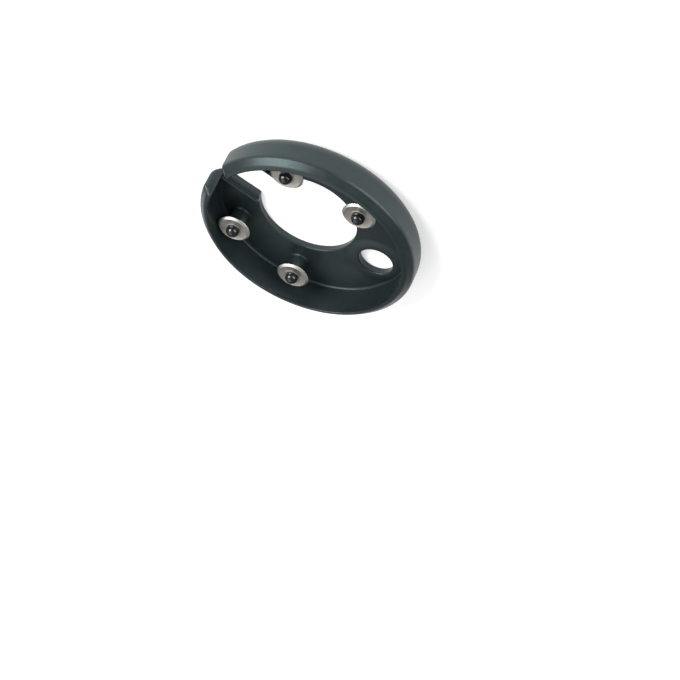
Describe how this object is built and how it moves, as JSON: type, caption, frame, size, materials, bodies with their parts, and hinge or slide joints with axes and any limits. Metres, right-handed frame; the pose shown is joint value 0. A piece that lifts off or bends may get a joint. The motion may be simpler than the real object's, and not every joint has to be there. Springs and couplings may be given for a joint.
{
  "type": "bottle foil cutter",
  "caption": "Squeeze-action foil cutter: an open C-shaped shell with two flexing arms and free-spinning steel cutting wheels held on dome-headed pins.",
  "frame": {"origin": "centre of the round shell, on its flat outer face, which is what it lies on", "axes": "+Z towards the open side that the wheels are set in, +X out of the mouth between the arms, +Y towards the left arm"},
  "size_m": [0.0553, 0.0556, 0.01],
  "materials": {
    "shell": "black moulded plastic with a satin sheen",
    "wheels": "turned steel with a bright ground bevel",
    "pins": "polished black domed heads"
  },
  "bodies": {
    "bridge": {"bridge": "shell", "left_flexing_strip": "shell", "right_flexing_strip": "shell"},
    "left_arm": {"left_arm": "shell", "front_left_pin": "pins", "rear_left_pin": "pins"},
    "right_arm": {"right_arm": "shell", "front_right_pin": "pins", "rear_right_pin": "pins"},
    "front_left_wheel": {"front_left_wheel": "wheels"},
    "rear_left_wheel": {"rear_left_wheel": "wheels"},
    "front_right_wheel": {"front_right_wheel": "wheels"},
    "rear_right_wheel": {"rear_right_wheel": "wheels"}
  },
  "joints": [
    {"name": "left_arm_flex", "type": "hinge", "parent": "bridge", "child": "left_arm", "pos_m": [-0.02066, 0.01222, 0.005], "axis": [0, 0, -1], "range_deg": [-3, 5], "stiffness_Nm_per_rad": 2, "deforming": ["left_flexing_strip"]},
    {"name": "right_arm_flex", "type": "hinge", "parent": "bridge", "child": "right_arm", "pos_m": [-0.02066, -0.01222, 0.005], "axis": [0, 0, 1], "range_deg": [-3, 5], "stiffness_Nm_per_rad": 2, "deforming": ["right_flexing_strip"]},
    {"name": "front_left_wheel_spin", "type": "hinge", "parent": "left_arm", "child": "front_left_wheel", "pos_m": [0.01418, 0.01483, 0.00675], "axis": [0, 0, 1], "continuous": true},
    {"name": "rear_left_wheel_spin", "type": "hinge", "parent": "left_arm", "child": "rear_left_wheel", "pos_m": [-0.00503, 0.01753, 0.00675], "axis": [0, 0, 1], "continuous": true},
    {"name": "front_right_wheel_spin", "type": "hinge", "parent": "right_arm", "child": "front_right_wheel", "pos_m": [0.01418, -0.01483, 0.00675], "axis": [0, 0, 1], "continuous": true},
    {"name": "rear_right_wheel_spin", "type": "hinge", "parent": "right_arm", "child": "rear_right_wheel", "pos_m": [-0.00503, -0.01753, 0.00675], "axis": [0, 0, 1], "continuous": true}
  ]
}
